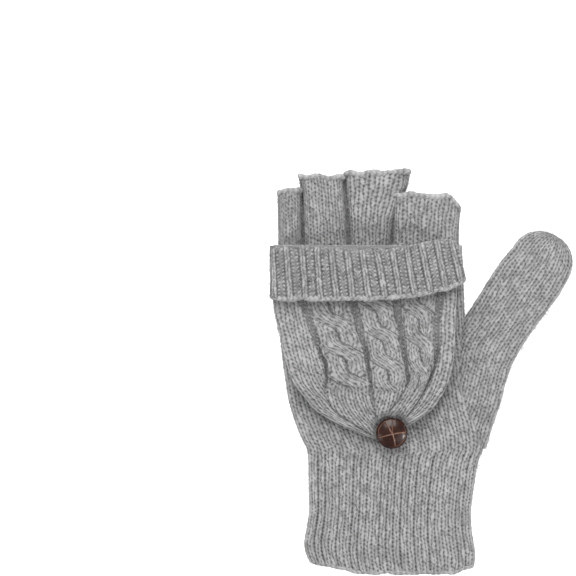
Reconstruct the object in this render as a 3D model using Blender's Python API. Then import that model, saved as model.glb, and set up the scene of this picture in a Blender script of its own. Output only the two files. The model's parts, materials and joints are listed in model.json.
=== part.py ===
"""Convertible flip-top mitten for a left hand, lying palm down.

Metres, +Z up. The origin is on the flat underside of the palm, +Y runs to the
fingers and +X to the thumb side. A wrist cuff, a hand tube, a thumb and four
open finger stubs make the glove. A pouch-shaped cover is joined along the
knuckles, lies folded back over the hand and is held there by a button loop.
"""

import math

import bmesh
import bpy
from mathutils import Vector
from mathutils.geometry import interpolate_bezier

MM = 0.001

# Driving dimensions
KNIT = 1.6 * MM               # thickness of one layer of knit
GAP = 0.3 * MM                # clearance between neighbouring pieces
GLOVE_HEIGHT = 8.0 * MM       # two layers with the hollow between them, lying flat
CAVITY_HEIGHT = 8.5 * MM      # hollow of the cover, which takes the finger stubs
KNUCKLE_Y = 77.0 * MM         # line where the finger stubs start
WRIST_Y = -26.5 * MM          # top of the ribbed cuff
HEM_Y = -86.3 * MM            # cast-on end of the cuff
CAST_ON_DEPTH = 3.4 * MM
BOUND_EDGE_DEPTH = 2.8 * MM   # bound-off round at the end of each stub

COVER_FLOOR_Z = GLOVE_HEIGHT + GAP
COVER_CEILING_Z = COVER_FLOOR_Z + KNIT + CAVITY_HEIGHT
COVER_TIP_HEIGHT = 5.4 * MM   # the cover lies flatter towards its tip
MOUTH_Y = 76.5 * MM
MOUTH_SLANT = 0.03            # rise of the mouth towards the thumb side

FLIP_RADIUS = 0.75 * MM       # roll of the joining seam, round the flip axis
FLIP_Y = 77.6 * MM
FLIP_Z = 9.05 * MM

SEAM_LEFT = -56.5 * MM
SEAM_RIGHT = 33.0 * MM
SEAM_SIDES = 16

BAND_FOLD_LEFT = Vector((-60.4, 75.4, 0.0)) * MM
BAND_FOLD_RIGHT = Vector((35.4, 80.2, 0.0)) * MM
BAND_DEPTH_LEFT = 25.0 * MM
BAND_DEPTH_RIGHT = 22.0 * MM
BAND_EDGE_DEPTH = 2.4 * MM
BAND_START = 0.3 * MM         # the band starts this far below its fold line

BUTTON_CENTRE = Vector((0.5, -16.0, 0.0)) * MM
BUTTON_RADIUS = 7.75 * MM
BUTTON_HEIGHT = 5.0 * MM
SHANK_RADIUS = 2.3 * MM
SHANK_HEIGHT = 1.7 * MM
THREAD_RADIUS = 1.0 * MM
KNOT_RADIUS = 2.0 * MM
LOOP_CORD_RADIUS = 0.75 * MM
NOTCH_RADIUS = BUTTON_RADIUS + 0.65 * MM   # the cover's tip stays clear of the button

THUMB_LEAN = math.radians(33.5)  # from +Y towards +X
THUMB_BASE = Vector((37.5, 40.5, 0.0)) * MM
THUMB_WIDTH = 32.0 * MM
THUMB_LENGTH = 59.0 * MM

CORNER_STEPS = 4              # facets of a rounded side
CORNER_SHARE = 0.98           # a side is rounded over this share of what fits
DOME_STEPS = 6                # rings of the thumb's round tip
DOME_END = math.radians(84.0)
SHARP_ANGLE = math.radians(40.0)
CUT = 4.0 * MM                # how far a cutter runs past the face that it opens


def clear_scene():
    for old in list(bpy.data.objects):
        bpy.data.objects.remove(old, do_unlink=True)


def make_material(name, colour, roughness):
    material = bpy.data.materials.new(name)
    material.use_nodes = True
    shader = material.node_tree.nodes["Principled BSDF"]
    shader.inputs["Base Color"].default_value = (*colour, 1.0)
    shader.inputs["Roughness"].default_value = roughness
    return material


def wool_material(name, shade=1.0):
    return make_material(name, tuple(value * shade for value in (0.37, 0.37, 0.38)), 0.92)


def leather_material():
    return make_material("button_leather", (0.045, 0.012, 0.007), 0.28)


def yarn_material():
    return make_material("grey_yarn", (0.30, 0.30, 0.31), 0.85)


def mesh_object(name, mesh_builder, material):
    mesh = bpy.data.meshes.new(name)
    mesh_builder.to_mesh(mesh)
    mesh_builder.free()
    mesh.materials.append(material)
    piece = bpy.data.objects.new(name, mesh)
    bpy.context.scene.collection.objects.link(piece)
    return piece


def smooth_through(points, steps):
    """Points of a smooth curve through the given ones, each a tuple of numbers of any length."""
    curve = []
    count = len(points)
    for i in range(count - 1):
        before = points[max(i - 1, 0)]
        start = points[i]
        end = points[i + 1]
        after = points[min(i + 2, count - 1)]
        for step in range(steps):
            t = step / steps
            curve.append(tuple(
                0.5 * (2 * b + (c - a) * t + (2 * a - 5 * b + 4 * c - d) * t * t
                       + (3 * b - a - 3 * c + d) * t ** 3)
                for a, b, c, d in zip(before, start, end, after)
            ))
    curve.append(tuple(points[-1]))
    return curve


def section(left, right, low, high, round_low, round_high):
    """Closed outline across the piece, as (across, up) pairs with rounded lower and upper corners."""
    pairs = []
    corners = (
        (right, high, round_high, 0.0),
        (left, high, round_high, 90.0),
        (left, low, round_low, 180.0),
        (right, low, round_low, 270.0),
    )
    for side, level, radius, first in corners:
        inward = -1.0 if side == right else 1.0
        downward = -1.0 if level == high else 1.0
        centre = (side + inward * radius, level + downward * radius)
        for step in range(CORNER_STEPS + 1):
            angle = math.radians(first + 90.0 * step / CORNER_STEPS)
            pairs.append((centre[0] + radius * math.cos(angle), centre[1] + radius * math.sin(angle)))
    return pairs


def flat_tube_section(left, right, inset=0.0, low=0.0, high=GLOVE_HEIGHT):
    """Section of a flattened tube with half-round sides, or of its hollow when inset by the knit."""
    radius = (high - low) / 2 - inset
    side = min(radius, (right - left) / 2 - inset) * CORNER_SHARE
    return section(left + inset, right - inset, low + inset, high - inset, side, side)


def loft(name, rings, material):
    """Closed body through rings of equally many points, each a list of 3-D points."""
    builder = bmesh.new()
    loops = [[builder.verts.new(point) for point in ring] for ring in rings]
    size = len(loops[0])
    for lower, upper in zip(loops, loops[1:]):
        for i in range(size):
            j = (i + 1) % size
            builder.faces.new((lower[i], lower[j], upper[j], upper[i]))
    builder.faces.new(list(reversed(loops[0])))
    builder.faces.new(loops[-1])
    bmesh.ops.recalc_face_normals(builder, faces=builder.faces)
    return mesh_object(name, builder, material)


def cutter(piece):
    piece.hide_render = True
    piece.display_type = "WIRE"
    return piece


def subtract(piece, tool):
    cutter(tool)
    cut = piece.modifiers.new("cut_" + tool.name, "BOOLEAN")
    cut.operation = "DIFFERENCE"
    cut.solver = "EXACT"
    cut.object = tool


def shade_round(piece):
    piece.data.shade_smooth()
    piece.data.set_sharp_from_angle(angle=SHARP_ANGLE)


def along_y(pairs, y, slant=0.0, middle=0.0):
    """Ring in a plane across the hand, tilted so that y rises with x."""
    return [(across, y + slant * (across - middle), up) for across, up in pairs]


def stretch(stations, start, end):
    """The stations with the first and last moved to start and end, so that a cutter runs through."""
    first = (start,) + tuple(stations[0][1:])
    last = (end,) + tuple(stations[-1][1:])
    return [first] + list(stations[1:-1]) + [last]


def knit_tube(name, stations, steps, material, start_open=True, end_open=True):
    """Flattened open tube through stations (y, left, right, slant)."""
    def rings(points, inset):
        made = []
        for y, left, right, slant in points:
            pairs = flat_tube_section(left, right, inset)
            made.append(along_y(pairs, y, slant, (left + right) / 2))
        return made

    path = smooth_through(stations, steps)
    outside = loft(name, rings(path, 0.0), material)
    start = path[0][0] - (CUT if start_open else -KNIT)
    end = path[-1][0] + (CUT if end_open else -KNIT)
    inside = loft(name + "_hollow", rings(stretch(path, start, end), KNIT), material)
    subtract(outside, inside)
    shade_round(outside)
    return outside


def in_mm(rows):
    """Stations in metres from rows of (y, left, right) or (y, left, right, slant) in millimetres."""
    return [(row[0] * MM, row[1] * MM, row[2] * MM, row[3] if len(row) > 3 else 0.0) for row in rows]


def make_cuff(wool, edge_wool):
    top = (WRIST_Y / MM, -40.3, 45.4)
    bottom = (HEM_Y + CAST_ON_DEPTH) / MM + GAP / MM
    body = in_mm([(bottom, -41.2, 41.6), (-72.0, -42.6, 41.4), (-60.0, -41.0, 40.2),
                  (-46.0, -40.7, 41.0), (-34.0, -41.0, 43.2), top])
    knit_tube("wrist_cuff", body, 2, wool)
    edge = in_mm([(HEM_Y / MM, -38.5, 39.5), (bottom - GAP / MM, -41.0, 41.4)])
    knit_tube("cuff_cast_on_edge", edge, 1, edge_wool)


HAND_STATIONS = in_mm([
    (WRIST_Y / MM + GAP / MM, -40.3, 45.0),
    (-13.5, -46.5, 43.6),
    (3.0, -51.2, 41.5),
    (27.0, -54.5, 38.6),
    (41.0, -56.2, 36.9),
    (57.0, -58.4, 36.0),
    (KNUCKLE_Y / MM - GAP / MM, -58.6, 35.4),
])


def make_hand(wool):
    hand = knit_tube("hand_tube", HAND_STATIONS, 2, wool)
    side_slot(hand, wool)
    thread_hole(hand, wool)
    return hand


def side_slot(hand, wool):
    """Opening in the side wall, through which the thumb is entered."""
    start = Vector((44.4, -20.0, 0.0)) * MM
    end = Vector((37.6, 35.0, 0.0)) * MM
    inset = 2 * KNIT
    rings = []
    for point in (start, end):
        pairs = section(point.x - inset, point.x + CUT, KNIT * 1.15, GLOVE_HEIGHT - KNIT * 1.15,
                        0.2 * MM, 0.2 * MM)
        rings.append(along_y(pairs, point.y))
    subtract(hand, loft("side_slot_cutter", rings, wool))


def thread_hole(hand, wool):
    radius = THREAD_RADIUS + GAP
    drill = turned("thread_hole_cutter", [(radius, GLOVE_HEIGHT + CUT), (radius, GLOVE_HEIGHT - KNIT - MM)],
                   wool, 12)
    drill.location = BUTTON_CENTRE
    subtract(hand, drill)


GUSSET_EDGE = [(49.4, -19.6), (53.2, -6.5), (56.6, 6.0), (60.2, 15.6), (63.6, 22.6)]


def make_gusset(wool):
    """Wedge of two layers between the side of the hand and the base of the thumb."""
    outer_edge = [Vector((x, y, 0.0)) * MM for x, y in smooth_through(GUSSET_EDGE, 2)]
    seam_start = Vector((44.9, -19.0, 0.0)) * MM
    seam_end = THUMB_BASE + Vector((0.2, -0.55, 0.0)) * MM
    count = len(outer_edge) - 1
    outside = []
    inside = []
    for i, edge in enumerate(outer_edge):
        seam = seam_start.lerp(seam_end, i / count)
        across = (edge - seam).normalized()
        width = (edge - seam).length
        outside.append(across_ring(seam, across, 0.0, width, 0.0))
        inside.append(across_ring(seam, across, -CUT, width - KNIT, KNIT))
    last = count
    forward = (outer_edge[last] - outer_edge[last - 1]).normalized() * CUT
    beyond = [tuple(Vector(point) + forward) for point in inside[last]]
    body = loft("thumb_gusset", outside, wool)
    subtract(body, loft("thumb_gusset_hollow", inside[1:] + [beyond], wool))
    shade_round(body)


def across_ring(origin, across, near, far, inset):
    """Ring in the upright plane through origin, square at the near side and rounded at the far side."""
    radius = min(GLOVE_HEIGHT / 2 - inset, far - near) * 0.96
    low = inset
    high = GLOVE_HEIGHT - inset
    pairs = [(near, high), (near, low)]
    for level, inward, first in ((low, 1.0, 270.0), (high, -1.0, 0.0)):
        for step in range(CORNER_STEPS + 1):
            angle = math.radians(first + 90.0 * step / CORNER_STEPS)
            pairs.append((far - radius + radius * math.cos(angle),
                          level + inward * radius + radius * math.sin(angle)))
    return [(origin.x + across.x * along, origin.y + across.y * along, up) for along, up in pairs]


def make_thumb(wool):
    """Tube that is closed in a round tip, in its own frame: base across +X, length along +Y."""
    tip_radius = THUMB_WIDTH / 2
    straight = THUMB_LENGTH - tip_radius

    def rings(inset, start):
        made = [along_y(flat_tube_section(0.0, THUMB_WIDTH, inset), start)]
        made.append(along_y(flat_tube_section(-0.4 * MM, THUMB_WIDTH + 0.2 * MM, inset), straight / 2))
        for step in range(DOME_STEPS + 1):
            angle = DOME_END * step / DOME_STEPS
            half = (tip_radius - inset) * math.cos(angle)
            thin = (GLOVE_HEIGHT / 2 - inset) * math.cos(angle) ** 0.5
            middle = GLOVE_HEIGHT / 2
            side = min(half, thin) * CORNER_SHARE
            pairs = section(tip_radius - half, tip_radius + half, middle - thin, middle + thin, side, side)
            made.append(along_y(pairs, straight + (tip_radius - inset) * math.sin(angle)))
        return made

    thumb = loft("thumb_tube", rings(0.0, GAP), wool)
    hollow = loft("thumb_tube_hollow", rings(KNIT, -CUT), wool)
    for piece in (thumb, hollow):
        piece.location = THUMB_BASE
        piece.rotation_euler = (0.0, 0.0, -THUMB_LEAN)
    subtract(thumb, hollow)
    shade_round(thumb)


# name, base left, base right, top left, top right, top middle y, slant of the top, all in millimetres
FINGERS = (
    ("little", -57.4, -41.9, -56.3, -43.9, 104.8, 0.10),
    ("ring", -41.5, -20.9, -43.4, -22.9, 112.6, 0.04),
    ("middle", -20.5, -0.1, -22.4, 2.6, 114.2, 0.03),
    ("index", 0.3, 35.2, 3.4, 36.4, 101.4, -0.23),
)


def make_fingers(wool, edge_wool):
    edge = BOUND_EDGE_DEPTH / MM
    gap = GAP / MM
    base_y = KNUCKLE_Y / MM
    for name, left, right, top_left, top_right, top_y, slant in FINGERS:
        share = (top_y - edge - gap - base_y) / (top_y - base_y)
        join_left = left + (top_left - left) * share
        join_right = right + (top_right - right) * share
        stub = in_mm([(base_y, left, right, 0.0),
                      (top_y - edge - gap, join_left, join_right, slant)])
        knit_tube(name + "_stub", stub, 3, wool)
        rim = in_mm([(top_y - edge, join_left, join_right, slant),
                     (top_y, top_left, top_right, slant)])
        knit_tube(name + "_bound_edge", rim, 1, edge_wool)


COVER_STATIONS = in_mm([
    (MOUTH_Y / MM, -59.6, 34.2),
    (57.0, -59.2, 32.6),
    (40.0, -56.8, 31.9),
    (24.0, -53.0, 31.0),
    (11.0, -48.6, 29.2),
    (1.0, -41.8, 24.6),
    (-6.0, -34.6, 18.6),
    (-11.5, -25.5, 11.0),
    (-16.5, -14.5, 3.0),
])


def cover_height(y):
    """Height of the cover above its floor: full round the fingers, lower towards the tip."""
    full = COVER_CEILING_Z + KNIT - COVER_FLOOR_Z
    taper_start = 36.0 * MM
    taper_end = -20.0 * MM
    share = min(max((taper_start - y) / (taper_start - taper_end), 0.0), 1.0)
    return full + (COVER_TIP_HEIGHT - full) * share


def mouth_slant(y):
    """The mouth is slanted, and the slant dies out 26 mm into the cover."""
    reach = 26.0 * MM
    return MOUTH_SLANT * max(0.0, 1.0 - (MOUTH_Y - y) / reach)


def cover_rings(stations, inset, low):
    rings = []
    for y, left, right, slant in stations:
        high = COVER_FLOOR_Z + cover_height(y) - inset
        radius = min(3.5 * MM, (high - low) * 0.6, (right - left) * 0.45)
        pairs = section(left + inset, right - inset, low, high, 0.1 * MM, radius)
        rings.append(along_y(pairs, y, mouth_slant(y), (left + right) / 2))
    return rings


def make_cover(plain_wool, cable_wool):
    """Pouch of two panels: a flat one that is joined at the knuckles and a cabled one with the sides."""
    path = smooth_through(COVER_STATIONS, 2)
    floor_top = COVER_FLOOR_Z + KNIT
    floor_rings = []
    for y, left, right, slant in path:
        pairs = section(left, right, COVER_FLOOR_Z, floor_top, 0.5 * MM, 0.5 * MM)
        floor_rings.append(along_y(pairs, y))
    floor = loft("cover_back_panel", floor_rings, plain_wool)

    upper = loft("cover_cable_panel", cover_rings(path, 0.0, floor_top + GAP), cable_wool)
    hollow_path = [(path[0][0] + CUT,) + path[0][1:]] + path[:-2]
    tip = path[-2]
    hollow_path.append((tip[0] - 0.5 * MM,) + tip[1:])
    hollow = loft("cover_hollow", cover_rings(hollow_path, KNIT, floor_top - MM), cable_wool)
    subtract(upper, hollow)
    for panel, top in ((floor, floor_top), (upper, COVER_CEILING_Z)):
        notch = turned(panel.name + "_notch", [(NOTCH_RADIUS, top + 2 * CUT), (NOTCH_RADIUS, 0.0)],
                       plain_wool, 32)
        notch.location = BUTTON_CENTRE
        subtract(panel, notch)
        shade_round(panel)


def make_join_seam(wool):
    """Roll of picked-up stitches along the knuckles, round which the cover folds over."""
    rings = []
    for x in (SEAM_LEFT, SEAM_RIGHT):
        ring = []
        for i in range(SEAM_SIDES):
            angle = 2 * math.pi * i / SEAM_SIDES
            ring.append((x, FLIP_Y + FLIP_RADIUS * math.cos(angle), FLIP_Z + FLIP_RADIUS * math.sin(angle)))
        rings.append(ring)
    shade_round(loft("cover_join_seam", rings, wool))


def slab(name, outline, low, high, material):
    """Flat plate from an outline of (x, y) points."""
    rings = [[(x, y, level) for x, y in outline] for level in (low, high)]
    return loft(name, rings, material)


def make_band(wool, edge_wool):
    """Ribbed band, turned back over the cabled panel, and the bound-off edge along its free side."""
    low = COVER_CEILING_Z + KNIT + GAP
    fold = (BAND_FOLD_RIGHT - BAND_FOLD_LEFT).normalized()
    down = Vector((fold.y, -fold.x, 0.0))

    def strip(from_left, from_right, to_left, to_right):
        corners = [
            BAND_FOLD_LEFT + down * from_left,
            BAND_FOLD_RIGHT + down * from_right,
            BAND_FOLD_RIGHT + down * to_right + fold * 1.2 * MM,
            BAND_FOLD_LEFT + down * to_left + fold * 0.8 * MM,
        ]
        return [(corner.x, corner.y) for corner in corners]

    left = BAND_DEPTH_LEFT - BAND_EDGE_DEPTH
    right = BAND_DEPTH_RIGHT - BAND_EDGE_DEPTH
    body = strip(BAND_START, BAND_START, left - GAP, right - GAP)
    slab("cover_rib_band", body, low, low + KNIT, wool)
    rim = strip(left, right, BAND_DEPTH_LEFT, BAND_DEPTH_RIGHT)
    slab("band_bound_edge", rim, low, low + KNIT, edge_wool)


def turned(name, profile, material, sides):
    """Body of revolution about Z from (radius, height) points, top to bottom, closed on the axis."""
    builder = bmesh.new()
    points = [(0.0, profile[0][1])] + list(profile) + [(0.0, profile[-1][1])]
    verts = [builder.verts.new((radius, 0.0, height)) for radius, height in points]
    edges = [builder.edges.new(pair) for pair in zip(verts, verts[1:])]
    bmesh.ops.spin(builder, geom=verts + edges, cent=(0.0, 0.0, 0.0), axis=(0.0, 0.0, 1.0),
                   angle=2 * math.pi, steps=sides, use_merge=True)
    bmesh.ops.remove_doubles(builder, verts=builder.verts, dist=1e-6)
    bmesh.ops.recalc_face_normals(builder, faces=builder.faces)
    return mesh_object(name, builder, material)


def make_button(leather, yarn):
    """Domed button on a shank, its thread through the back of the hand, and the knot inside."""
    pivot = bpy.data.objects.new("button_pivot", None)
    bpy.context.scene.collection.objects.link(pivot)
    pivot.location = BUTTON_CENTRE
    thread_top = GLOVE_HEIGHT + 0.9 * MM
    shank_low = thread_top + GAP
    head_low = shank_low + SHANK_HEIGHT + GAP

    rim = 1.5 * MM
    dome = []
    dome_steps = 7
    for step in range(dome_steps):
        angle = math.radians(90.0 * step / dome_steps)
        radius = BUTTON_RADIUS * math.sin(math.radians(9.0) + angle * 0.9)
        height = head_low + rim + (BUTTON_HEIGHT - rim) * math.cos(angle)
        dome.append((radius, height))
    dome += [(BUTTON_RADIUS, head_low + rim), (BUTTON_RADIUS - 0.9 * MM, head_low)]
    head = turned("button_head", dome, leather, 32)
    shank = turned("button_shank", [(SHANK_RADIUS, shank_low + SHANK_HEIGHT), (SHANK_RADIUS, shank_low)],
                   leather, 20)
    for piece in (head, shank):
        piece.parent = pivot
        shade_round(piece)

    thread_low = GLOVE_HEIGHT - KNIT
    thread = turned("button_thread", [(THREAD_RADIUS, thread_top), (THREAD_RADIUS, thread_low)], yarn, 12)
    knot_top = thread_low - GAP
    knot = turned("thread_knot", [(KNOT_RADIUS * 0.7, knot_top), (KNOT_RADIUS, knot_top - 0.45 * MM),
                                  (KNOT_RADIUS * 0.6, knot_top - 1.0 * MM)], yarn, 12)
    for piece in (thread, knot):
        piece.location = BUTTON_CENTRE
        shade_round(piece)


def make_loop(yarn):
    """Cord from the tip of the cover round the shank and back, held under the button's head."""
    turn_radius = SHANK_RADIUS + GAP + LOOP_CORD_RADIUS + 0.1 * MM
    height = COVER_FLOOR_Z + 0.1 * MM + LOOP_CORD_RADIUS
    end_y = math.sqrt((NOTCH_RADIUS - 0.5 * MM) ** 2 - turn_radius ** 2)
    bend = []
    bend_steps = 12
    for step in range(bend_steps + 1):
        angle = math.pi + math.pi * step / bend_steps
        bend.append(Vector((turn_radius * math.cos(angle), turn_radius * math.sin(angle), 0.0)))
    left_end = Vector((-turn_radius, end_y, 0.0))
    right_end = Vector((turn_radius, end_y, 0.0))
    side = interpolate_bezier(left_end, left_end.lerp(bend[0], 0.4), left_end.lerp(bend[0], 0.7), bend[0], 4)
    other = [Vector((-point.x, point.y, 0.0)) for point in reversed(side)]
    other[-1] = right_end
    route = side[:-1] + bend + other[1:]

    cord = bpy.data.curves.new("button_loop", "CURVE")
    cord.dimensions = "3D"
    cord.bevel_depth = LOOP_CORD_RADIUS
    cord.bevel_resolution = 2
    cord.use_fill_caps = True
    spline = cord.splines.new("POLY")
    spline.points.add(len(route) - 1)
    for point, place in zip(spline.points, route):
        point.co = (place.x, place.y, height, 1.0)
    cord.materials.append(yarn)
    loop = bpy.data.objects.new("button_loop", cord)
    bpy.context.scene.collection.objects.link(loop)
    loop.location = BUTTON_CENTRE


def main():
    clear_scene()
    wool = wool_material("grey_wool")
    rib_wool = wool_material("rib_wool", 1.05)
    cable_wool = wool_material("cable_wool", 0.95)
    edge_wool = wool_material("edge_wool", 1.2)
    yarn = yarn_material()
    leather = leather_material()
    make_cuff(rib_wool, edge_wool)
    make_hand(wool)
    make_gusset(wool)
    make_thumb(wool)
    make_fingers(wool, edge_wool)
    make_cover(wool, cable_wool)
    make_join_seam(wool)
    make_band(rib_wool, edge_wool)
    make_button(leather, yarn)
    make_loop(yarn)


main()
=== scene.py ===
import json
import math

import bpy
import numpy as np
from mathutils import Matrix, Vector


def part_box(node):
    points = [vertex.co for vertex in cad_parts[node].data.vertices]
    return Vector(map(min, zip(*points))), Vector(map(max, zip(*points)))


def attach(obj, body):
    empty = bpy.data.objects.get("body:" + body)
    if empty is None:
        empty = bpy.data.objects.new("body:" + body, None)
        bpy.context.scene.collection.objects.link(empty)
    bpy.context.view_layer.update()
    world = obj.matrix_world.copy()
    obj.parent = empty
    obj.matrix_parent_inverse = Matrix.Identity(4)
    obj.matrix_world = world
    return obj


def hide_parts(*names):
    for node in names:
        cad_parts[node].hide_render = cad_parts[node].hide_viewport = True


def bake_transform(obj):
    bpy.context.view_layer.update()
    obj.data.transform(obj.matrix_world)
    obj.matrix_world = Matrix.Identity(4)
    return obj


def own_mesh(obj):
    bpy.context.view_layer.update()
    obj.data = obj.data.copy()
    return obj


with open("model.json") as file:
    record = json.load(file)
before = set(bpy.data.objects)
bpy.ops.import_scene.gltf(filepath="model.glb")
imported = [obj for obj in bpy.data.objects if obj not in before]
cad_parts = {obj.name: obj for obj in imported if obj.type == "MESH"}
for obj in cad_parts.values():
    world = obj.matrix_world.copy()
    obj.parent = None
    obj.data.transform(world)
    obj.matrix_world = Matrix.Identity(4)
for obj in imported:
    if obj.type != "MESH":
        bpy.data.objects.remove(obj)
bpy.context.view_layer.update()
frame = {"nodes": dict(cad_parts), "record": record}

MM = 0.001
WALE = 3.45 * MM  # width of a stitch
COURSE = 2.07 * MM  # height of a stitch
FABRIC = 1.6 * MM  # thickness of a layer without its stitches
STITCH_RELIEF = 0.7 * MM
PUCKER = 0.3 * MM  # how far the knit rises and falls over a few stitches
TOP_PITCH = 0.43 * MM  # spacing of the vertices on the side that shows most
UNDER_PITCH = 0.6 * MM
ROW_PITCH = 0.45 * MM
INSIDE_STEP = 6  # the inside skin keeps every sixth row
EDGE_SAMPLES = 121  # points that describe one row across a tube

FIBRE_LENGTH = (1.4 * MM, 4.2 * MM)
FIBRE_RISE = (0.2 * MM, 2.3 * MM)
FIBRE_RADIUS = 0.1 * MM
FIBRE_STEPS = 5
FIBRE_FLOOR = 0.2 * MM  # no fibre comes lower than this
# how many loose fibres a piece has
FIBRES = {"cuff_knit": 1800, "hand_knit": 1200, "thumb_knit": 1100, "cover_cables": 1800,
          "cover_back_knit": 200, "rib_band_knit": 500}
STUB_FIBRES = 300

# what the uneven details of each part start from
SEEDS = {"hand": 2, "thumb": 3, "cuff_grooves": 4, "hem": 5, "stubs": 11, "gutters": 6, "panels": 7,
         "strands": 8, "loose_strands": 40, "cover_back": 9, "cover_pucker": 5, "cover_fibres": 21,
         "rib_knit": 12, "rib_purl": 13, "rib_sway": 17, "band_pucker": 3, "band_fibres": 31,
         "band_edge": 14, "join_seam": 15}

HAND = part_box("hand_tube")
CAST_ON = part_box("cuff_cast_on_edge")
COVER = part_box("cover_cable_panel")
COVER_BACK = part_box("cover_back_panel")
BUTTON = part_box("button_head")
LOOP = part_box("button_loop")
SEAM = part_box("cover_join_seam")
JOINTS = {joint["name"]: joint for joint in frame["record"]["behaviour"]["joints"]}
BAND_TURN = JOINTS["band_turn"]["pos_m"]

GLOVE_HEIGHT = HAND[1][2] - HAND[0][2]
TUBE_HEIGHT = GLOVE_HEIGHT - 0.2 * MM  # of a tube without its stitches
TUBE_FLOOR = 0.25 * MM
KNUCKLE_Y = HAND[1][1]
WRIST_Y = HAND[0][1]
HEM_Y = CAST_ON[0][1]
BUTTON_CENTRE = [(BUTTON[0][i] + BUTTON[1][i]) / 2 for i in (0, 1)]


# --- curves

def smooth_at(knots, values, places):
    """Smooth curve through (knot, value) pairs, read at the given places."""
    knots = np.asarray(knots, float)
    values = np.asarray(values, float)
    slopes = np.gradient(values, knots)
    places = np.clip(places, knots[0], knots[-1])
    i = np.clip(np.searchsorted(knots, places) - 1, 0, len(knots) - 2)
    span = knots[i + 1] - knots[i]
    t = (places - knots[i]) / span
    return (values[i] * (1 + 2 * t) * (1 - t) ** 2 + slopes[i] * span * t * (1 - t) ** 2
            + values[i + 1] * t * t * (3 - 2 * t) + slopes[i + 1] * span * t * t * (t - 1))


def column_at(stations, column, places):
    """Smooth curve through one column of stations in millimetres, read at places in metres."""
    table = np.asarray(stations, float) * MM
    return smooth_at(table[:, 0], table[:, column], places)


def smooth_path(points, count):
    """Smooth curve through points in millimetres, as count points in metres at equal shares."""
    points = np.asarray(points, float) * MM
    along = running_length(points)
    places = np.linspace(0.0, along[-1], count)
    return np.stack([smooth_at(along, column, places) for column in points.T], axis=1)


def running_length(points):
    steps = np.linalg.norm(np.diff(points, axis=0), axis=-1)
    return np.concatenate([np.zeros((1,) + steps.shape[1:]), np.cumsum(steps, axis=0)])


def smoothstep(low, high, value):
    t = np.clip((value - low) / (high - low), 0.0, 1.0)
    return t * t * (3 - 2 * t)


def hashed(i, j, seed):
    """Number from 0 to 1 that is the same for every point of stitch (i, j)."""
    value = np.sin(i * 127.1 + j * 311.7 + seed * 74.7) * 43758.5453
    return value - np.floor(value)


def uneven(x, y, scale, seed):
    """Slow smooth variation from -1 to 1 over a surface."""
    return (np.sin(x / scale + 1.7 * seed) * np.cos(y / scale * 1.3 + seed)
            + 0.5 * np.sin((x + y) / scale * 2.3 + 3.1 * seed)) / 1.5


def softened(grid, times):
    """Grid with each value averaged with its neighbours, several times."""
    for _ in range(times):
        padded = np.pad(grid, 1, mode="edge")
        around = padded[:-2, 1:-1] + padded[2:, 1:-1] + padded[1:-1, :-2] + padded[1:-1, 2:]
        grid = (4 * grid + around) / 8
    return grid


# --- stitches

LEG_WIDTH = (0.19, 0.05)  # half width of a stitch's leg in wales: least, and how much more at most
LEG_LENGTH = (0.55, 0.2)  # half length of a leg in courses, likewise
LEG_SPREAD = 0.15  # how far a leg leans out for each course
BETWEEN_LEGS = 0.36  # height between two legs
BETWEEN_TONE = 0.25
HOLE_SIZE = (0.15, 0.25)  # of the small holes between the stitches, in wales and courses
HOLE_DEPTH = (0.6, 0.4)  # as a share of the height: least, and how much more at most
PAINTED_SHADE_HEIGHTS = (-0.05, 0.7)  # heights between which the painted shade goes from dark, low between the stitches, to pale on their crowns


def pierced(height, u, v, seed):
    """Height with a small hole between every two stitches: in the middle of the columns and between them."""
    wale, gap = np.floor(u), np.round(u)
    for beside, key, place in ((u - wale - 0.5, wale, v), (u - gap, gap + 500, v + 0.5)):
        depth = HOLE_DEPTH[0] + HOLE_DEPTH[1] * hashed(key, np.floor(place), seed)
        up = place - np.floor(place) - 0.5
        height = height * (1 - depth * np.exp(-(beside / HOLE_SIZE[0]) ** 2 - (up / HOLE_SIZE[1]) ** 2))
    return height


def stockinette(u, v, seed):
    """Height and tone, from 0 to 1, of plain knit: columns of V-shaped stitches, none quite alike."""
    sway = 0.1 * np.sin(0.9 * v + 1.3 * seed + 2.1 * np.floor(u))
    v = v + 0.3 * np.sin(0.7 * u + seed) + 0.25 * np.sin(0.23 * v + 1.7 * u)
    u = u + sway * np.sin(np.pi * u) ** 2
    wale = np.floor(u)
    row = np.floor(v)
    across = u - wale - 0.5
    height = np.zeros_like(u)
    tone = np.full_like(u, BETWEEN_TONE)
    for side in (-1.0, 1.0):
        for step in (-1, 0, 1):
            stitch = row + step
            first = hashed(wale, stitch, seed + side)
            second = hashed(wale + 31, stitch, seed + side)
            wide = LEG_WIDTH[0] + LEG_WIDTH[1] * first
            tall = LEG_LENGTH[0] + LEG_LENGTH[1] * second
            up = v - stitch - 0.5 - 0.3 * (first - 0.5)
            middle = side * (0.25 + LEG_SPREAD * up) + 0.08 * (second - 0.5)
            body = 1 - ((across - middle) / wide) ** 2 - (up / tall) ** 2
            leg = np.maximum(body, 0.0) ** 0.7 * (0.86 + 0.28 * (first - 0.5) - 0.1 * up)
            tone = np.where(leg > height, second ** 2, tone)
            height = np.maximum(height, leg)
    return pierced(BETWEEN_LEGS + (1 - BETWEEN_LEGS) * np.minimum(height, 1.0), u, v, seed), tone


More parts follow.
